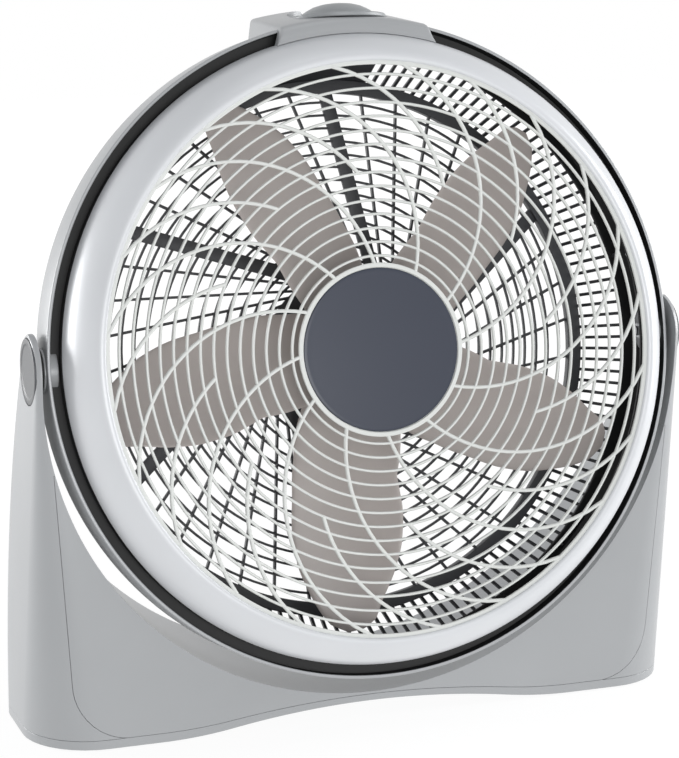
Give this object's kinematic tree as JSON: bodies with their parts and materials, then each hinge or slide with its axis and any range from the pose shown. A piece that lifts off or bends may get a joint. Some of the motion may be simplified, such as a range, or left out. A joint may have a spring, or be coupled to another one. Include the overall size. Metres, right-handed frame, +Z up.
{
  "type": "air circulator fan",
  "caption": "Round floor-standing air circulator: a drum with curved front guard and swept blades tilts between the arms of a U-shaped base, with a speed knob on top.",
  "frame": {"origin": "on the floor, directly below the tilt axis, midway between the two arms", "axes": "+X to the right as seen from the front, +Y to the rear (the fan blows towards -Y), +Z up"},
  "size_m": [0.565, 0.211, 0.588],
  "materials": {
    "silver_shell": "satin silver-grey moulding",
    "silver_ring": "light silver, semi-gloss",
    "guard_grey": "pale warm grey",
    "badge_slate": "dark slate, glossy",
    "blade_taupe": "warm grey, soft gloss",
    "grille_black": "near-black, matt",
    "cap_grey": "mid grey, satin",
    "knob_grey": "silver-grey, satin",
    "rubber": "matt",
    "steel": "bright zinc",
    "bell_alloy": "cast, dull",
    "lamination": "laminated sheet steel",
    "copper_wire": "enamelled copper winding wire",
    "switch_black": "matt",
    "capacitor_white": "off-white case"
  },
  "bodies": {
    "base": {"base_shell": "silver_shell", "front_fascia": "silver_shell", "bottom_cover": "silver_shell", "rubber_feet": "rubber", "base_screws": "steel", "pivot_bolts": "steel", "pivot_nuts": "steel", "friction_washers": "rubber", "pivot_caps": "cap_grey"},
    "head": {"drum_shell": "silver_shell", "front_ring": "silver_ring", "front_guard": "guard_grey", "badge_disc": "badge_slate", "ring_screws": "steel", "rear_grille": "grille_black", "rear_screws": "steel", "motor_front_bell": "bell_alloy", "motor_rear_bell": "bell_alloy", "stator_core": "lamination", "motor_windings": "copper_wire", "motor_bearings": "steel", "motor_screws": "steel", "crown_housing": "silver_shell", "crown_screws": "steel", "switch_box": "switch_black", "rotary_switch": "switch_black", "capacitor": "capacitor_white"},
    "rotor": {"impeller": "blade_taupe", "motor_shaft": "steel", "rotor_core": "lamination", "impeller_nut": "steel"},
    "knob": {"speed_knob": "knob_grey", "switch_shaft": "switch_black"}
  },
  "joints": [
    {"name": "head_tilt", "type": "hinge", "parent": "base", "child": "head", "pos_m": [0, 0, 0.3065], "axis": [-1, 0, 0], "range_deg": [-24.75, 80.25]},
    {"name": "fan_spin", "type": "hinge", "parent": "head", "child": "rotor", "pos_m": [0, 0, 0.3065], "axis": [0, 0.9856, -0.1693], "continuous": true},
    {"name": "knob_turn", "type": "hinge", "parent": "head", "child": "knob", "pos_m": [0, 0.05905, 0.57335], "axis": [0, -0.1693, -0.9856], "range_deg": [0, 135]}
  ]
}
